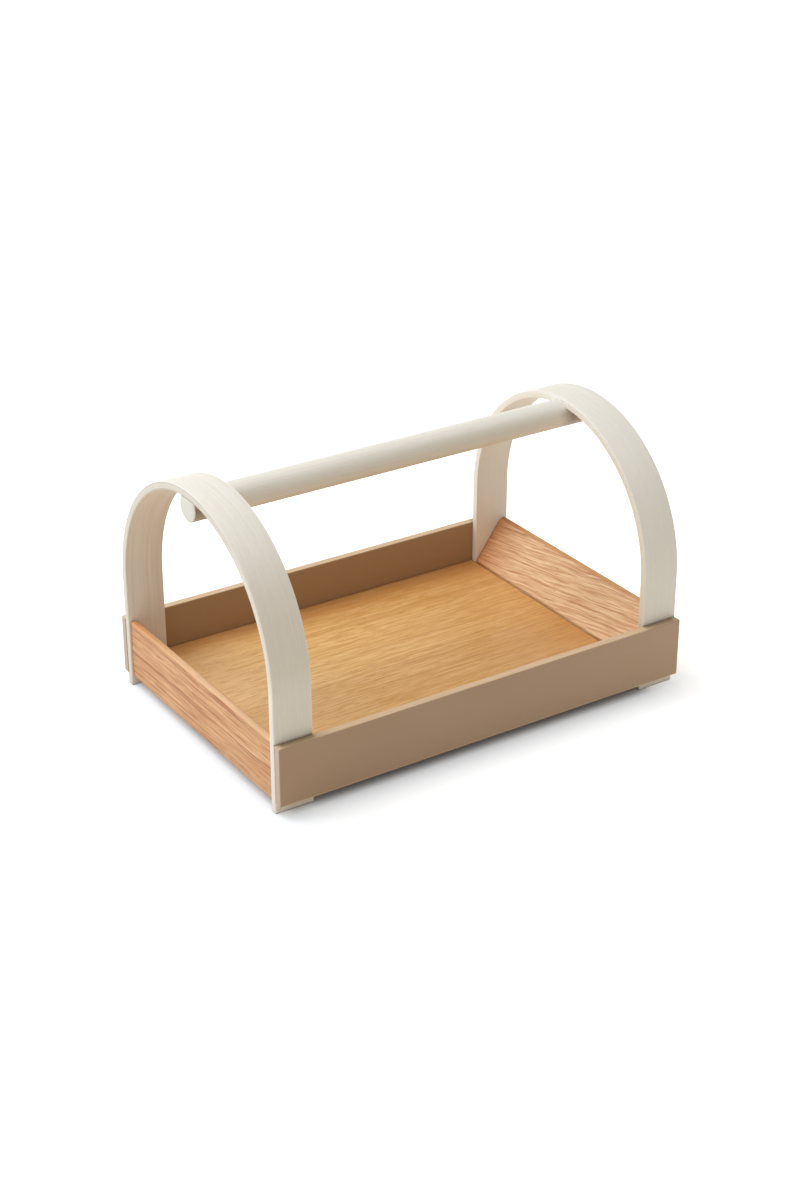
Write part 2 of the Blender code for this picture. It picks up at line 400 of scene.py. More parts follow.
handle = {"diameter": 25 * mm, "height": 216.3 * mm, "edge": 1.0 * mm, "edgeSteps": 4,
          "sides": 96, "notchGap": 0.3 * mm, "notchReach": 14 * mm, "grainFrom": (3.1, 0.5, 0.7)}
bpy.ops.object.select_all(action="DESELECT")
bpy.ops.mesh.primitive_cylinder_add(vertices=handle["sides"], radius=handle["diameter"] / 2,
                                    depth=arch["length"], rotation=(0, math.radians(90), 0),
                                    location=(0, 0, handle["height"]))
rail = nameIt("round_handle")
bpy.ops.object.transform_apply(location=True, rotation=True, scale=True)
easeEdges(rail, handle["edge"], handle["edgeSteps"])
seatRadius = archRadius - arch["thickness"] - handle["notchGap"]
notchFrom = arch["length"] / 2 - arch["width"] - handle["notchGap"]
notchTo = arch["length"] / 2 + handle["notchReach"]
for side in (-1, 1):
    low, high = sorted((side * notchFrom, side * notchTo))
    carve(rail, bendStrip("notch", low, high, seatRadius, handle["notchReach"], True))
drillForPins(rail, "handle_pin")
layGrain(rail, lambda point: point, handle["grainFrom"])
markWornAndLitEdges(rail, lambda point: (arch["length"] / 2 - abs(point.x),
                              handle["diameter"] / 2
                              - math.hypot(point.y, point.z - handle["height"])), handle["edge"])
smooth(rail)
print("stage: handle seated")


# side panels

# the pale bottom rounding, a painted highlight, and the start of the bare core on the other edges are given
# as parts of the edge's radius
panel = {"length": 400 * mm, "thickness": 7.4 * mm, "height": 53.0 * mm, "bottom": 9.5 * mm,
         "edge": 0.7 * mm, "edgeSteps": 4, "gap": 0.3 * mm, "highlightBelow": 0.8, "bareFrom": 0.3,
         "rearGrain": 2.1}
panelInner = archRadius + panel["gap"]
panelTop = panel["bottom"] + panel["height"]
# the floor board, whose grooves are in the panels and the end blocks
board = {"top": 23.3 * mm, "thickness": 8 * mm, "tongue": 4 * mm, "sideTongue": 2.5 * mm,
         "endTongue": 6 * mm, "edge": 0.3 * mm, "edgeSteps": 2, "gap": 0.3 * mm}
boardMiddle = board["top"] - board["thickness"] / 2
boardHalfX = arch["length"] / 2 - arch["width"] - board["gap"]
boardHalfY = panelInner - board["gap"]
grooveHalf = board["tongue"] / 2 + board["gap"]

low = Vector((-panel["length"] / 2, -panelInner - panel["thickness"], panel["bottom"]))
high = Vector((panel["length"] / 2, -panelInner, panelTop))
frontPanel = addBoard("front_side_panel", low, high)
easeEdges(frontPanel, panel["edge"], panel["edgeSteps"])
grooveX = boardHalfX + board["gap"]
grooveY = panelInner + board["sideTongue"] + board["gap"]
carve(frontPanel, addBoard("groove", (-grooveX, -grooveY, boardMiddle - grooveHalf),
                           (grooveX, 0, boardMiddle + grooveHalf)))
drillForPins(frontPanel, "corner_pin", "front")
rearPanel = mirrorCopy(frontPanel, "rear_side_panel", (1, -1, 1))


def toPanelFaces(point):
    return (panel["length"] / 2 - abs(point.x), abs(point.y) - panelInner,
            panelInner + panel["thickness"] - abs(point.y), point.z - panel["bottom"],
            panelTop - point.z)


def paleEdgeBand(point):
    # 0 on the two lacquered faces and 1 where the core of the board shows; the whole bottom rounding is 1
    # too, as a painted highlight
    if point.z < panel["bottom"] + panel["highlightBelow"] * panel["edge"]:
        return 1
    fromFace = min(abs(point.y) - panelInner, panelInner + panel["thickness"] - abs(point.y))
    start = panel["bareFrom"] * panel["edge"]
    return min(max((fromFace - start) / start, 0), 1)


for piece, shift in ((frontPanel, 0.0), (rearPanel, panel["rearGrain"])):
    store(piece, "paleCoreAndHighlight", [paleEdgeBand(vertex.co) for vertex in piece.data.vertices])
    layGrain(piece, lambda point: (point.x, point.z, point.y), (shift, shift, 0.0))
    markWornAndLitEdges(piece, toPanelFaces, panel["edge"])
    smooth(piece)
print("stage: side panels cut")


# end blocks

block = {"drop": 0.5 * mm, "inset": 1.6 * mm, "toeSetback": 0.7 * mm, "lip": 1.7 * mm,
         "topWidth": 5.6 * mm, "brow": 3.0 * mm, "edge": 1.0 * mm, "toeEdge": 0.5 * mm,
         "gap": 0.3 * mm, "grooveOver": 5 * mm, "rightTilt": math.radians(7),
         "leftTilt": math.radians(0.5), "leftGrain": 0.9}
blockHalfY = archRadius - arch["thickness"] - block["gap"]
toeX = arch["length"] / 2 - arch["width"] + block["toeSetback"]
outerX = arch["length"] / 2 - block["inset"]
blockBottom = panel["bottom"] - block["drop"]
lipTop = board["top"] + block["lip"]

blockRight = addBoard("oak_end_block_right", (toeX, -blockHalfY, blockBottom),
                      (outerX, blockHalfY, lipTop))
pick(blockRight, "FACE", lambda middle, normal: middle.z > lipTop - tiny)
bpy.ops.mesh.extrude_region_move(TRANSFORM_OT_translate={"value": (0, 0, panelTop - lipTop)})
pick(blockRight, "EDGE", lambda a, b: min(a.z, b.z) > panelTop - tiny and max(a.x, b.x) < toeX + tiny)
bpy.ops.transform.translate(value=(outerX - block["topWidth"] - toeX, 0, 0))
pick(blockRight, "EDGE", lambda a, b: min(a.z, b.z) > panelTop - tiny
     and max(a.x, b.x) < outerX - tiny and abs(a.y - b.y) > tiny)
bpy.ops.mesh.bevel(offset=block["brow"], segments=8, affect="EDGES")
pick(blockRight, "EDGE", lambda a, b: abs(a.y - b.y) > blockHalfY
     and ((min(a.x, b.x) > outerX - tiny) or max(a.z, b.z) < blockBottom + tiny))
bpy.ops.mesh.bevel(offset=block["edge"], segments=4, affect="EDGES")
pick(blockRight, "EDGE", lambda a, b: abs(a.y - b.y) > blockHalfY
     and max(a.x, b.x) < toeX + tiny and abs(a.z - lipTop) < tiny)
bpy.ops.mesh.bevel(offset=block["toeEdge"], segments=3, affect="EDGES")
backToObject()
blockGroove = toeX + board["endTongue"] + board["gap"]
grooveEnd = blockHalfY + block["grooveOver"]
carve(blockRight, addBoard("groove", (0, -grooveEnd, boardMiddle - grooveHalf),
                           (blockGroove, grooveEnd, boardMiddle + grooveHalf)))
drillForPins(blockRight, "corner_pin", "right")
blockLeft = mirrorCopy(blockRight, "oak_end_block_left", (-1, 1, 1))


def blockGrain(point):
    # each block is sawn some degrees off its grain
    tilt = block["rightTilt"] if point.x > 0 else block["leftTilt"]
    level, rise = math.cos(tilt), math.sin(tilt)
    return (point.y * level - point.z * rise, abs(point.x) - archX,
            point.z * level + point.y * rise)


def toBlockFaces(point):
    return (abs(point.x) - toeX, outerX - abs(point.x), point.z - blockBottom, panelTop - point.z)


for piece, shift in ((blockRight, 0.0), (blockLeft, block["leftGrain"])):
    layGrain(piece, blockGrain, (shift, 0.0, 0.0))
    markWornAndLitEdges(piece, toBlockFaces, block["edge"])
    smooth(piece)
print("stage: end blocks planed")


# floor board

floorBoard = addBoard("veneered_floor_board",
                      (-boardHalfX, -boardHalfY, board["top"] - board["thickness"]),
                      (boardHalfX, boardHalfY, board["top"]))
easeEdges(floorBoard, board["edge"], board["edgeSteps"])
tongueHalf = board["tongue"] / 2
tongueX = toeX + board["endTongue"]
tongueY = panelInner + board["sideTongue"]
for reachX, reachY in ((tongueX, blockHalfY), (boardHalfX, tongueY)):
    carve(floorBoard, addBoard("tongue", (-reachX, -reachY, boardMiddle - tongueHalf),
                               (reachX, reachY, boardMiddle + tongueHalf)), "UNION")
layGrain(floorBoard, lambda point: point, (0, 0, 0))
# 1 on what lies below the open surface, where dust and oil darken the joint
jointTop = board["top"] - board["edge"] - tiny
store(floorBoard, "joint", [float(vertex.co.z < jointTop) for vertex in floorBoard.data.vertices])
smooth(floorBoard)
print("stage: floor board tongued")


# finishes
# a fade is a start, an end and the amounts at both, in metres where it follows a place

def washStrips(tree, look, colour, coords, streak):
    at = {"right": (0.1, 0.16, 0, 0.45), "crown": (0.2, 0.228, 1, 0.1),
          "leftTurn": (-0.092, -0.062), "rightTurn": (-0.075, -0.04), "sawn": 0.95,
          "thinLine": 0.0026, "thinFade": (0.0002, 0.0009, 0.75, 0), "thinRear": (-0.11, -0.07, 0.3, 1),
          "outerArris": (0.1984, 0.1995), "innerArris": (0.1667, 0.1656), "arrisHighlight": 0.6,
          "shoulder": (-0.02, -0.06, 0, 0.35), "shoulderFoot": (0.1, 0.125),
          "shoulderTop": (0.205, 0.18), "wornAndLitEdge": 0.5, "innerStreak": (0.38, 0.56),
          "outerFace": arch["grainDepth"] + 0.0004,
          "middle": arch["grainDepth"] + arch["thickness"] / 2,
          "innerFace": arch["grainDepth"] + arch["thickness"], "faceGap": 0.0003}
    x, y, z = split(tree, objectPlace(tree))
    onLeft = maths(tree, "LESS_THAN", x, 0)
    fromMiddle = maths(tree, "ABSOLUTE", x)
    depth = split(tree, coords)[2]
    # painted light: the right strip is painted lighter than the left one, though less so at its crown
    rightStripLighter = product(tree, fade(tree, x, *at["right"]), fade(tree, z, *at["crown"]))
    colour = mixColour(tree, rightStripLighter, colour, look["edge"])
    # painted light and shade: each sawn side is lit at one end and shaded at the other, the left one
    # lighter at the front and the right one lighter at the rear
    side = attribute(tree, "side")
    left = mixColour(tree, fade(tree, y, *at["leftTurn"]), look["leftSideLitFront"], look["leftSideShadedRear"])
    right = mixColour(tree, fade(tree, y, *at["rightTurn"]), look["rightSideShadedFront"], look["rightSideLitRear"])
    sawn = mixColour(tree, onLeft, right, left)
    colour = mixColour(tree, maths(tree, "MULTIPLY", side, at["sawn"]), colour, sawn)
    # painted shade: dark lines along both arrises of the left strip's sides
    fromArris = gap(tree, gap(tree, depth, at["middle"]), at["thinLine"])
    arrisShade = product(tree, side, onLeft, fade(tree, y, *at["thinRear"]),
                   fade(tree, fromArris, *at["thinFade"]))
    colour = mixColour(tree, arrisShade, colour, look["arrisShade"])
    # painted highlight: lighter bands on the outer faces beside the arrises
    besideArris = maths(tree, "MAXIMUM", fade(tree, fromMiddle, *at["outerArris"]),
                        fade(tree, fromMiddle, *at["innerArris"]))
    besideArris = product(tree, besideArris, maths(tree, "LESS_THAN", depth, at["outerFace"]),
                          at["arrisHighlight"])
    colour = mixColour(tree, besideArris, colour, look["edge"])
    # painted shade: the left strip's shoulder is darker towards the front
    shoulder = product(tree, onLeft, fade(tree, y, *at["shoulder"]),
                       fade(tree, z, *at["shoulderFoot"]), fade(tree, z, *at["shoulderTop"]))
    colour = mixColour(tree, shoulder, colour, look["under"])
    # wear and a painted highlight on the rounded edges
    wearAndHighlight = maths(tree, "MULTIPLY", attribute(tree, "wornAndLitEdge"), at["wornAndLitEdge"])
    colour = mixColour(tree, wearAndHighlight, colour, look["edge"])
    # painted shade: the left strip's inner face is darker, along its streaks
    within = maths(tree, "LESS_THAN", gap(tree, depth, at["innerFace"]), at["faceGap"])
    inner = mixColour(tree, fade(tree, streak, *at["innerStreak"]), look["innerDeep"], look["inner"])
    return mixColour(tree, product(tree, within, onLeft), colour, inner)


def washHandle(tree, look, colour):
    at = {"skin": (0, 0.002, 1, 0), "side": (0.2255, 0.2165, 0, 0.5), "under": (0.216, 0.2062),
          "discIn": 0.0005, "discFrom": 0.1992, "discWash": 0.8,
          "besideFrom": (0.155, 0.166), "besideDepth": (0, 0.0095, 1, 0),
          "belowFrom": (0.158, 0.171), "belowDepth": (0, 0.019, 1, 0.35),
          "seatSkin": (-0.0008, 0), "seatTo": 0.199, "seatTop": (0.2175, 0.2235, 1, 0.2)}
    place = objectPlace(tree)
    x, _, z = split(tree, place)
    fromMiddle = maths(tree, "ABSOLUTE", x)
    inHandle = insideRound(tree, place, (0, 0, handle["height"]), handle["diameter"] / 2)
    inArch = insideRound(tree, place, (0, 0, arch["spring"]), archRadius - arch["thickness"])
    # painted shade: the handle is darker down its side and under it
    onHandle = fade(tree, maths(tree, "ABSOLUTE", inHandle), *at["skin"])
    low = maths(tree, "MAXIMUM", fade(tree, z, *at["side"]), fade(tree, z, *at["under"]))
    colour = mixColour(tree, product(tree, onHandle, low), colour, look["under"])
    # the end faces have a cooler wash
    onDisc = product(tree, maths(tree, "GREATER_THAN", inHandle, at["discIn"]),
                     maths(tree, "GREATER_THAN", fromMiddle, at["discFrom"]),
                     maths(tree, "GREATER_THAN", inArch, 0), at["discWash"])
    colour = mixColour(tree, onDisc, colour, look["disc"])
    # painted shade beside and below the crowns, where they lie in the handle's seats
    beside = product(tree, fade(tree, fromMiddle, *at["besideFrom"]),
                     fade(tree, inArch, *at["besideDepth"]))
    below = product(tree, fade(tree, fromMiddle, *at["belowFrom"]),
                    fade(tree, inArch, *at["belowDepth"]))
    seated = product(tree, onHandle, fade(tree, inArch, *at["seatSkin"]),
                     maths(tree, "MAXIMUM", beside, below),
                     maths(tree, "LESS_THAN", fromMiddle, at["seatTo"]), fade(tree, z, *at["seatTop"]))
    return mixColour(tree, seated, colour, look["seat"])


def shadeStripsAtPanelsAndFeet(tree, look, colour):
    # painted shade: a dark line on the strips along the top of each panel, and darker feet where they meet
    # the ground
    at = {"outside": archRadius - 0.0003, "panelTopShade": (0, 0.0016, 0.6, 0), "footShade": (0.0003, 0.001, 0.85, 0)}
    _, y, z = split(tree, objectPlace(tree))
    outside = maths(tree, "GREATER_THAN", maths(tree, "ABSOLUTE", y), at["outside"])
    panelTopShade = fade(tree, gap(tree, z, panelTop), *at["panelTopShade"])
    colour = mixColour(tree, product(tree, outside, panelTopShade), colour, look["panelTopShade"])
    return mixColour(tree, fade(tree, z, *at["footShade"]), colour, look["footShade"])


def whitewashedAsh():
    look = {"pale": paint(238, 236, 229), "deep": paint(233, 229, 220), "pore": paint(212, 203, 186),
            "edge": paint(250, 248, 243), "inner": paint(232, 226, 218),
            "innerDeep": paint(223, 216, 206), "under": paint(221, 206, 188),
            "arrisShade": paint(208, 203, 192), "disc": paint(236, 239, 238), "seat": paint(106, 88, 64),
            "panelTopShade": paint(158, 134, 96), "footShade": paint(92, 80, 60),
            "leftSideLitFront": paint(254, 254, 253), "leftSideShadedRear": paint(234, 231, 226),
            "rightSideShadedFront": paint(244, 242, 231), "rightSideLitRear": paint(254, 253, 249)}
    grain = {"streaks": (9, 640, 640), "clouds": (5, 110, 110), "cloudy": (0.4, 0.7, 0, 0.25),
             "pores": (70, 1500, 1500), "porous": (0.56, 0.7), "poreDepth": 0.35,
             "sheen": (0.3, 0.7, 0.58, 0.46), "ridges": 0.4, "relief": 0.00008, "bump": 0.5}
    finish, tree, shader = newFinish("whitewashed_ash", 0.5)
    coords = attribute(tree, "grain", "Vector")
    streak = fibres(tree, coords, grain["streaks"], 4)
    cloud = fibres(tree, coords, grain["clouds"], 2)
    colour = ramp(tree, streak, [(0.34, look["deep"]), (0.6, look["pale"])])
    colour = mixColour(tree, fade(tree, cloud, *grain["cloudy"]), colour, look["deep"])
    pores = fade(tree, fibres(tree, coords, grain["pores"], 2), *grain["porous"])
    colour = mixColour(tree, maths(tree, "MULTIPLY", pores, grain["poreDepth"]), colour, look["pore"])
    colour = washStrips(tree, look, colour, coords, streak)
    colour = washHandle(tree, look, colour)
    colour = shadeStripsAtPanelsAndFeet(tree, look, colour)
    tree.links.new(colour, shader.inputs["Base Color"])
    tree.links.new(fade(tree, streak, *grain["sheen"]), shader.inputs["Roughness"])
    addBump(tree, shader, grainHeight(tree, streak, grain["ridges"], pores), grain["relief"], grain["bump"])
    return finish


def taupeLacquer():
    # lacquer on the two faces, and the pale core of the board along its edges, which also stands in for
    # light on them as a painted highlight
    look = {"coat": paint(177, 146, 118), "cool": paint(172, 142, 116), "lighterToRight": paint(185, 154, 126),
            "inside": paint(165, 134, 102), "edge": paint(190, 160, 128), "core": paint(222, 194, 160),
            "coreDeep": paint(206, 177, 143), "end": paint(209, 191, 180), "dustAndShade": paint(112, 90, 62)}
    at = {"clouds": (14, 22, 22), "streaks": (30, 900, 900), "peel": (700, 700, 700),
          "lighterToRight": (0.03, 0.19), "inside": 0.131, "wearAndHighlight": 0.6,
          "bottomHighlight": (panel["bottom"] + 0.0008, panel["bottom"] + 0.0014, 1, 0),
          "end": panel["length"] / 2 - 0.0006, "endBare": 0.9,
          "legFrom": (0.163, 0.167), "legTo": (0.1945, 0.1975, 1, 0), "top": panelTop - 0.0008,
          "dustAndShade": (0.129, 0.135, 0.75, 0.2), "seam": (0.1281, 0.1291, 0.6, 0),
          "gloss": (0.3, 0.7, 0.38, 0.46), "coreRoughness": 0.6, "relief": 0.00003, "bump": 0.5}
    finish, tree, shader = newFinish("taupe_lacquer", 0.42)
    coords = attribute(tree, "grain", "Vector")
    cloud = fibres(tree, coords, at["clouds"], 3)
    colour = mixColour(tree, cloud, look["coat"], look["cool"])
    x, y, z = split(tree, objectPlace(tree))
    # painted light: the lacquer is lighter towards the right
    colour = mixColour(tree, fade(tree, x, *at["lighterToRight"]), colour, look["lighterToRight"])
    x, y = maths(tree, "ABSOLUTE", x), maths(tree, "ABSOLUTE", y)
    # painted shade: the inner faces of the panels are darker
    colour = mixColour(tree, maths(tree, "LESS_THAN", y, at["inside"]), colour, look["inside"])
    # wear and a painted highlight on the rounded edges
    wearAndHighlight = maths(tree, "MULTIPLY", attribute(tree, "wornAndLitEdge"), at["wearAndHighlight"])
    colour = mixColour(tree, wearAndHighlight, colour, look["edge"])
    streak = fibres(tree, coords, at["streaks"], 3)
    core = ramp(tree, streak, [(0.35, look["coreDeep"]), (0.6, look["core"])])
    atEnd = maths(tree, "GREATER_THAN", x, at["end"])
    core = mixColour(tree, maths(tree, "MULTIPLY", atEnd, at["endBare"]), core, look["end"])
    # the pale core, with a painted highlight along the bottom edge
    paleCoreAndHighlight = maths(tree, "MAXIMUM", attribute(tree, "paleCoreAndHighlight"), fade(tree, z, *at["bottomHighlight"]))
    colour = mixColour(tree, paleCoreAndHighlight, colour, core)
    # painted shadow of each leg on the top edge in front of it, and painted shade in the seam beside it on
    # the end faces
    legShadowOnTop = product(tree, fade(tree, x, *at["legFrom"]), fade(tree, x, *at["legTo"]),
                    maths(tree, "GREATER_THAN", z, at["top"]), fade(tree, y, *at["dustAndShade"]))
    seam = maths(tree, "MULTIPLY", atEnd, fade(tree, y, *at["seam"]))
    colour = mixColour(tree, maths(tree, "MAXIMUM", legShadowOnTop, seam), colour, look["dustAndShade"])
    tree.links.new(colour, shader.inputs["Base Color"])
    gloss = fade(tree, cloud, *at["gloss"])
    tree.links.new(fade(tree, paleCoreAndHighlight, 0, 1, gloss, at["coreRoughness"]), shader.inputs["Roughness"])
    peel = fibres(tree, coords, at["peel"], 2)
    height = put(tree, "ShaderNodeMix", {0: paleCoreAndHighlight, 2: peel, 3: streak}).outputs[0]
    addBump(tree, shader, height, at["relief"], at["bump"])
    return finish


def solidOak(name, look):
    shared = {"heart": (0, -0.045, -0.06), "rings": (0.36, 0.5), "patches": (0.4, 0.6),
              "porous": (0.52, 0.62), "poresInRings": (0.4, 0.6, 1, 0.35), "rearShadeDepth": 0.8,
              "seam": paint(140, 88, 52), "seamFrom": (0.1198, 0.1204, 0, 0.7), "wearAndHighlight": 0.4,
              "sheen": (0.3, 0.7, 0.62, 0.48), "ridges": 0.4, "relief": 0.00012, "bump": 0.6}
    finish, tree, shader = newFinish(name, 0.55)
    coords = attribute(tree, "grain", "Vector")
    along = split(tree, coords)[0]
    coords = wander(tree, coords, look["swayPerMetre"], look["sway"])
    ring = growthRings(tree, coords, shared["heart"], look["ringsPerMetre"])
    patch = fibres(tree, coords, look["patchPerMetre"], 2)
    streak = fibres(tree, coords, look["streakPerMetre"], 4, 0.65)
    colour = ramp(tree, streak, [(0.36, look["late"]), (0.6, look["pale"])])
    ringShown = maths(tree, "MULTIPLY", fade(tree, ring, *shared["rings"], look["ringDepth"], 0),
                      fade(tree, patch, *shared["patches"]))
    colour = mixColour(tree, ringShown, colour, look["early"])
    pores = fade(tree, fibres(tree, coords, look["poresPerMetre"], 2, 0.6), *shared["porous"])
    pores = maths(tree, "MULTIPLY", pores, fade(tree, ring, *shared["poresInRings"]))
    colour = mixColour(tree, maths(tree, "MULTIPLY", pores, look["poreDepth"]), colour, look["pore"])
    # the planed top has its own colour, and the rear end is painted darker as shade
    _, y, z = split(tree, objectPlace(tree))
    onTop = fade(tree, z, *look["planedFrom"])
    colour = mixColour(tree, maths(tree, "MULTIPLY", onTop, look["planed"]), colour, look["top"])
    rearEnd = product(tree, fade(tree, along, *look["rearShadeFrom"], 0, shared["rearShadeDepth"]),
                      fade(tree, onTop, 0, 1, look["rearShadeBelow"], 1))
    colour = mixColour(tree, rearEnd, colour, look["rearShade"], "MULTIPLY")
    # a dark seam against the legs of the strips
    seam = fade(tree, maths(tree, "ABSOLUTE", y), *shared["seamFrom"])
    colour = mixColour(tree, seam, colour, shared["seam"])
    # wear and a painted highlight on the rounded edges
    wearAndHighlight = maths(tree, "MULTIPLY", attribute(tree, "wornAndLitEdge"), shared["wearAndHighlight"])
    colour = mixColour(tree, wearAndHighlight, colour, look["edge"])
    tree.links.new(colour, shader.inputs["Base Color"])
    tree.links.new(fade(tree, streak, *shared["sheen"]), shader.inputs["Roughness"])
    addBump(tree, shader, grainHeight(tree, streak, shared["ridges"], pores), shared["relief"],
            shared["bump"])
    return finish


def oakVeneer():
    # two leaves of veneer under clear lacquer, the front one darker and with other grain
    look = {"dark": paint(192, 134, 72), "middle": paint(219, 170, 99), "light": paint(243, 203, 140),
            "pore": paint(172, 112, 54), "ruddyShade": paint(205, 136, 68), "reflectionHaze": paint(244, 206, 154),
            "joint": paint(112, 60, 32)}
    grain = {"sway": (16, 60, 60), "reach": 0.005, "heart": (0, 0.25, 0.3), "rings": 170,
             "ringed": (0.36, 0.5, 0.35, 0), "streaks": (17, 560, 560), "clouds": (5, 40, 40),
             "cloudy": (0.42, 0.66, 0, 0.4), "pores": (56, 980, 980), "porous": (0.53, 0.62),
             "poreDepth": 0.42, "sheen": (0.3, 0.7, 0.44, 0.36), "ridges": 0.4, "relief": 0.00006,
             "bump": 0.4}
    at = {"leaf": -0.008, "leafShift": 0.31, "leafDark": 0.24, "leafLine": (0, 0.0009, 0.4, 0),
          "rear": (0.088, 0.116, 0, 0.9), "rearClouds": (0.35, 0.6, 1, 0.4),
          "right": (-0.08, 0.16, 0, 0.38), "left": (-0.05, -0.15, 0, 0.6),
          "half": (boardHalfX - 0.0002, boardHalfY - 0.0002, 0), "dustAndShade": (0, 0.0013, 0.6, 0)}
    finish, tree, shader = newFinish("oak_veneer", 0.4)
    shader.inputs["Specular IOR Level"].default_value = 0.35
    coords = attribute(tree, "grain", "Vector")
    x, y, _ = split(tree, coords)
    fromEnd, fromSide, _ = split(tree, vectorMaths(tree, "SUBTRACT", at["half"],
                                                   vectorMaths(tree, "ABSOLUTE", coords)))
    fromEdge = maths(tree, "MINIMUM", fromEnd, fromSide)
    leaf = maths(tree, "LESS_THAN", y, at["leaf"])
    shift = maths(tree, "MULTIPLY", leaf, at["leafShift"])
    shift = put(tree, "ShaderNodeCombineXYZ", {0: shift, 2: shift}).outputs[0]
    coords = wander(tree, vectorMaths(tree, "ADD", coords, shift), grain["sway"], grain["reach"])
    ring = growthRings(tree, coords, grain["heart"], grain["rings"])
    streak = fibres(tree, coords, grain["streaks"], 3, 0.7)
    cloud = fibres(tree, coords, grain["clouds"], 3)
    colour = ramp(tree, streak, [(0.42, look["middle"]), (0.55, look["light"])])
    colour = mixColour(tree, fade(tree, ring, *grain["ringed"]), colour, look["dark"])
    colour = mixColour(tree, fade(tree, cloud, *grain["cloudy"]), colour, look["middle"])
    # painted reflection: lighter towards the left
    colour = mixColour(tree, fade(tree, x, *at["left"]), colour, look["reflectionHaze"])
    pores = fade(tree, fibres(tree, coords, grain["pores"], 2, 0.6), *grain["porous"])
    colour = mixColour(tree, maths(tree, "MULTIPLY", pores, grain["poreDepth"]), colour, look["pore"])
    colour = mixColour(tree, maths(tree, "MULTIPLY", leaf, at["leafDark"]), colour, look["dark"])
    colour = mixColour(tree, fade(tree, gap(tree, y, at["leaf"]), *at["leafLine"]), colour, look["pore"])
    # painted shade: ruddier towards the rear panel and the right block; dust along the edges
    rear = maths(tree, "MULTIPLY", fade(tree, y, *at["rear"]), fade(tree, cloud, *at["rearClouds"]))
    colour = mixColour(tree, rear, colour, look["ruddyShade"])
    colour = mixColour(tree, fade(tree, x, *at["right"]), colour, look["ruddyShade"])
    colour = mixColour(tree, fade(tree, fromEdge, *at["dustAndShade"]), colour, look["joint"])
    colour = mixColour(tree, attribute(tree, "joint"), colour, look["joint"])
    tree.links.new(colour, shader.inputs["Base Color"])
    tree.links.new(fade(tree, streak, *grain["sheen"]), shader.inputs["Roughness"])
    addBump(tree, shader, grainHeight(tree, streak, grain["ridges"], pores), grain["relief"],
            grain["bump"])
    return finish


def beechPin():
    look = {"deep": paint(196, 160, 120), "pale": paint(218, 186, 148),
            "streaks": (500, 500, 60), "relief": 0.0001, "bump": 0.4}
    finish, tree, shader = newFinish("beech_pin", 0.6)
    streak = fibres(tree, objectPlace(tree), look["streaks"], 3)
    colour = ramp(tree, streak, [(0.35, look["deep"]), (0.65, look["pale"])])
    tree.links.new(colour, shader.inputs["Base Color"])
    addBump(tree, shader, streak, look["relief"], look["bump"])
    return finish


# the grain starts at 0 in the middle of the right block and at 0.9 in that of the left one,
# so the two rear ends with painted shade are given that far along it
rightLook = {
    "early": paint(196, 128, 80), "late": paint(223, 174, 128), "pale": paint(254, 222, 180),
    "pore": paint(184, 108, 68), "edge": paint(236, 190, 140), "top": paint(206, 146, 88),
    "planed": 0.8, "planedFrom": (0.0612, 0.062),
    "rearShade": paint(208, 152, 100), "rearShadeBelow": 1, "rearShadeFrom": (0.06, 0.122),
    "ringsPerMetre": 520, "ringDepth": 0.5, "poreDepth": 0.65, "patchPerMetre": (16, 60, 60),
    "streakPerMetre": (18, 160, 720), "poresPerMetre": (22, 260, 1150),
    "swayPerMetre": (14, 70, 70), "sway": 0.0048}
leftLook = {
    "early": paint(176, 110, 70), "late": paint(206, 150, 106), "pale": paint(240, 194, 147),
    "pore": paint(168, 98, 60), "edge": paint(246, 208, 160), "top": paint(250, 212, 166),
    "planed": 0.6, "planedFrom": (0.0602, 0.0614),
    "rearShade": paint(230, 186, 138), "rearShadeBelow": 0.15, "rearShadeFrom": (0.93, 1.01),
    "ringsPerMetre": 200, "ringDepth": 0.75, "poreDepth": 0.8, "patchPerMetre": (11, 70, 70),
    "streakPerMetre": (14, 450, 450), "poresPerMetre": (26, 800, 800),
    "swayPerMetre": (9, 70, 70), "sway": 0.008}
ash = whitewashedAsh()
lacquer = taupeLacquer()
rightOak = solidOak("solid_oak_right", rightLook)
leftOak = solidOak("solid_oak_left", leftLook)
floorOak = oakVeneer()
beech = beechPin()
print("stage: finishes made")


def dress(piece, finish, slot, *nodes):
    piece.data.materials.clear()
    piece.data.materials.append(finish)
    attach(piece, "root")
    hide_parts(*nodes)


dress(archLeft, ash, "whitewashed_ash", "arch_left")
dress(archRight, ash, "whitewashed_ash", "arch_right")
dress(rail, ash, "whitewashed_ash", "handle")
dress(frontPanel, lacquer, "taupe_lacquer", "front_panel")
dress(rearPanel, lacquer, "taupe_lacquer", "rear_panel")
dress(blockRight, rightOak, "solid_oak", "end_block_right")
dress(blockLeft, leftOak, "solid_oak", "end_block_left")
dress(floorBoard, floorOak, "oak_veneer", "floor_board")
for name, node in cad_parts.items():
    if "_pin_" in name:
        node.data.materials.clear()
        node.data.materials.append(beech)
print("stage: pieces and pins dressed")


# studio

ground = {"size": 14.0, "drop": 0.1 * mm, "near": paint(230, 242, 255), "far": paint(240, 245, 250),
          "nearTo": (0.018, 0.05), "left": paint(215, 229, 243), "leftFrom": (-0.172, -0.196),
          "bounce": paint(250, 244, 230), "underTray": (173.5 * mm, 121 * mm, 0),
          "middle": (-7.5 * mm, 0, 0), "stretch": (1.2, 1, 0)}
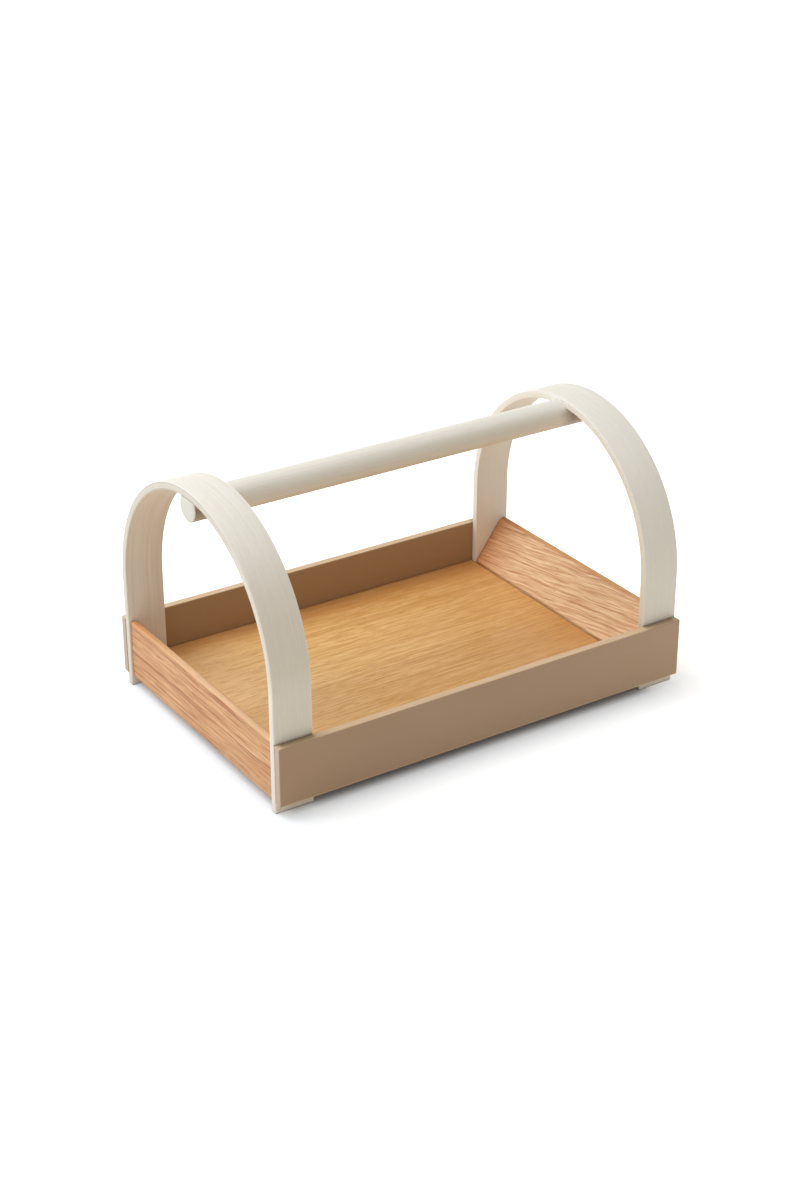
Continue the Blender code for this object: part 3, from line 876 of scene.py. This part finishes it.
# how much of the paper's white is its own glow, a painted light that lightens the tray's shadow, by metres
# from under the tray;
# by the stretch, it comes sooner at the tray's ends than in front of it
ground["glow"] = [(0.0, 0.0), (0.0062, 0.0), (0.0099, 0.12), (0.0137, 0.245), (0.017, 0.295),
                  (0.021, 0.325), (0.025, 0.352), (0.03, 0.378), (0.043, 0.4), (0.054, 0.42),
                  (0.08, 0.48), (0.13, 0.6), (0.3, 0.8), (1.0, 0.95)]


def seenStraight(tree):
    # 1 for rays from the camera, and for what gloss and glass show
    path = put(tree, "ShaderNodeLightPath", {})
    seen = maths(tree, "ADD", path.outputs["Is Camera Ray"], path.outputs["Is Glossy Ray"])
    seen = maths(tree, "ADD", seen, path.outputs["Is Transmission Ray"])
    return maths(tree, "MINIMUM", seen, 1.0)


def studioPaper():
    finish = bpy.data.materials.new("studio_paper")
    finish.use_nodes = True
    tree = finish.node_tree
    tree.nodes.clear()
    place = objectPlace(tree)
    beyond = vectorMaths(tree, "ABSOLUTE", vectorMaths(tree, "SUBTRACT", place, ground["middle"]))
    beyond = vectorMaths(tree, "MAXIMUM", vectorMaths(tree, "SUBTRACT", beyond, ground["underTray"]))
    away = vectorLength(tree, vectorMaths(tree, "MULTIPLY", beyond, ground["stretch"]))
    glow = ramp(tree, away, [(metres, (amount, amount, amount, 1)) for metres, amount in ground["glow"]])
    glow = maths(tree, "MULTIPLY", glow, seenStraight(tree))
    light = put(tree, "ShaderNodeEmission", {0: (1, 1, 1, 1), 1: glow})
    # the paper's colour, as it is seen and as it lights the tray from below; the seen colour is bluer near
    # the tray and at the left block, painting out the warm tint of the shadow there
    toLeft = fade(tree, split(tree, place)[0], *ground["leftFrom"])
    seen = mixColour(tree, toLeft, ground["near"], ground["left"])
    seen = mixColour(tree, fade(tree, away, *ground["nearTo"]), seen, ground["far"])
    colour = mixColour(tree, seenStraight(tree), ground["bounce"], seen)
    matt = put(tree, "ShaderNodeBsdfDiffuse", {0: colour})
    both = put(tree, "ShaderNodeAddShader", {0: light.outputs[0], 1: matt.outputs[0]})
    put(tree, "ShaderNodeOutputMaterial", {0: both.outputs[0]})
    return finish


bpy.ops.object.select_all(action="DESELECT")
bpy.ops.mesh.primitive_plane_add(size=ground["size"], location=(0, 0, -ground["drop"]))
paper = nameIt("studio_floor")
bpy.ops.object.transform_apply(location=True, rotation=True, scale=True)
paper.data.materials.append(studioPaper())

# the camera sees white all round, and the tray is lit by this sky
sky = {"colour": (1.0, 0.95, 0.87, 1), "strength": 0.48}
world = bpy.data.worlds.new("studio_sky")
bpy.context.scene.world = world
world.use_nodes = True
tree = world.node_tree
tree.nodes.clear()
lit = put(tree, "ShaderNodeBackground", {0: sky["colour"], 1: sky["strength"]})
white = put(tree, "ShaderNodeBackground", {0: (1, 1, 1, 1), 1: 1.0})
choice = put(tree, "ShaderNodeMixShader", {0: seenStraight(tree), 1: lit.outputs[0], 2: white.outputs[0]})
put(tree, "ShaderNodeOutputWorld", {0: choice.outputs[0]})

lamp = {"power": 32.0, "size": (1.4, 2.4), "place": (-0.7, 0.65, 2.0), "aim": (0, 0, 0.1)}
bpy.ops.object.light_add(type="AREA", location=lamp["place"])
key = nameIt("key_light")
key.data.energy = lamp["power"]
key.data.shape = "RECTANGLE"
key.data.size, key.data.size_y = lamp["size"]
beam = Vector(lamp["aim"]) - Vector(lamp["place"])
key.rotation_euler = beam.to_track_quat("-Z", "Y").to_euler()

camera = {"place": (-0.88727, -1.35926, 0.90193), "down": 26.869, "turn": -33.127, "lens": 63.44,
          "sensor": 36, "reach": 50}
turned = (math.radians(90 - camera["down"]), 0, math.radians(camera["turn"]))
bpy.ops.object.camera_add(location=camera["place"], rotation=turned)
view = nameIt("photo_camera")
view.data.lens = camera["lens"]
view.data.sensor_width = camera["sensor"]
view.data.clip_end = camera["reach"]
bpy.context.scene.camera = view
bpy.context.scene.view_settings.view_transform = "Standard"
print("stage: studio lit")
